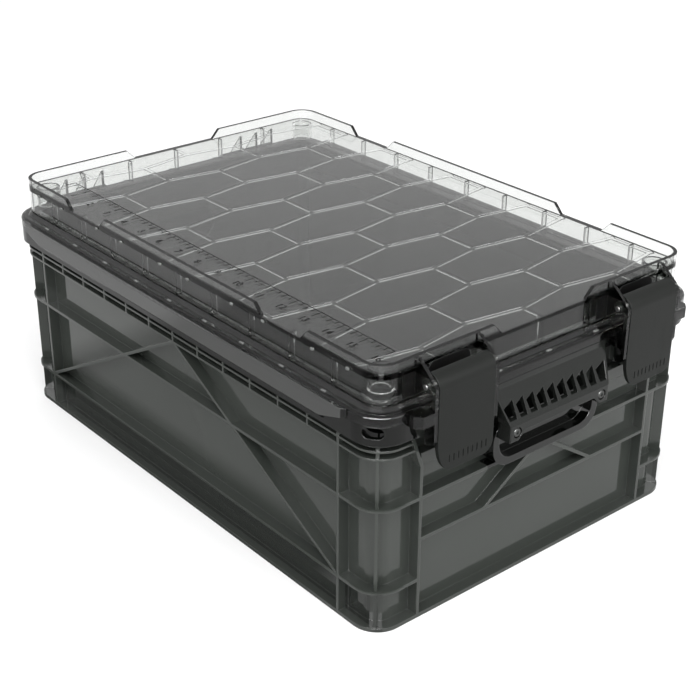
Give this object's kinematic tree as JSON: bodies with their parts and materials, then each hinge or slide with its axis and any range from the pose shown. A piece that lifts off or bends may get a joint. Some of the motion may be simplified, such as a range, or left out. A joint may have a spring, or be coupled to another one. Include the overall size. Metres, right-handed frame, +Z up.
{
  "type": "storage crate",
  "caption": "Rectangular ribbed storage crate with a clear lid on rear hinges, a seal, two front latches and a carrying handle at each end.",
  "frame": {"origin": "on the ground under the middle of the crate", "axes": "+X along the length towards the near end with the latches and handle seen in the picture (the front), +Y across it to the right of someone who faces that end from outside, looking along -X, +Z up"},
  "size_m": [0.498, 0.328, 0.2037],
  "materials": {
    "crate": "dark grey, semi-gloss moulded",
    "handle": "dark grey, semi-gloss moulded",
    "latch": "dark grey, satin moulded",
    "clear_lid": "clear, polished",
    "seal": "soft black",
    "pin": "plain",
    "screw": "blackened"
  },
  "bodies": {
    "crate": {"crate_body": "crate", "front_handle": "handle", "front_handle_screws": "screw", "rear_handle": "handle", "rear_handle_screws": "screw", "rear_left_hinge_pin": "pin", "rear_right_hinge_pin": "pin"},
    "lid": {"lid": "clear_lid", "lid_seal": "seal", "front_left_latch_pin": "pin", "front_right_latch_pin": "pin"},
    "front_left_latch": {"front_left_latch": "latch"},
    "front_right_latch": {"front_right_latch": "latch"}
  },
  "joints": [
    {"name": "lid_turn", "type": "hinge", "parent": "crate", "child": "lid", "pos_m": [-0.2426, 0, 0.1648], "axis": [0, -1, 0], "range_deg": [0, 105]},
    {"name": "front_left_latch_turn", "type": "hinge", "parent": "lid", "child": "front_left_latch", "pos_m": [0.239, -0.0923, 0.186], "axis": [0, -1, 0], "range_deg": [0, 100]},
    {"name": "front_right_latch_turn", "type": "hinge", "parent": "lid", "child": "front_right_latch", "pos_m": [0.239, 0.0923, 0.186], "axis": [0, -1, 0], "range_deg": [0, 100]}
  ]
}
